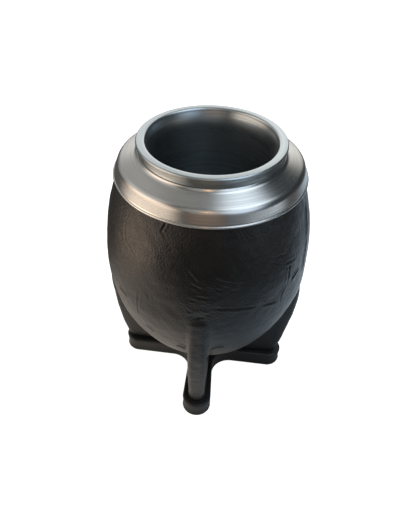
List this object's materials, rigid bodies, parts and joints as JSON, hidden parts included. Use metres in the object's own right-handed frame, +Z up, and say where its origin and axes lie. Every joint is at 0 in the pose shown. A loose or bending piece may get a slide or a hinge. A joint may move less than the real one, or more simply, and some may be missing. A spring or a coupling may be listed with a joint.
{
  "type": "mate cup",
  "caption": "Empty mate drinking cup: turned metal cup with lip and shoulder ferrule in an egg-shaped leather-covered body on radial fin legs and a cross-shaped sole.",
  "frame": {"origin": "centre of the underside of the sole, on the cup's axis", "axes": "+Z up along the cup's axis; the four legs stand along +X, +Y, -X and -Y, with the -Y leg at the front"},
  "size_m": [0.0884, 0.087, 0.123],
  "materials": {
    "turned_aluminium": "lathe-turned, fine concentric rings",
    "brushed_aluminium": "circumferentially brushed, half bright",
    "black_leather": "pebble grain, semi-gloss, creased",
    "black_rubber": "smooth, satin"
  },
  "bodies": {
    "root": {"cup_liner": "turned_aluminium", "ferrule": "brushed_aluminium", "leather_body": "black_leather", "sole": "black_rubber"}
  },
  "joints": []
}
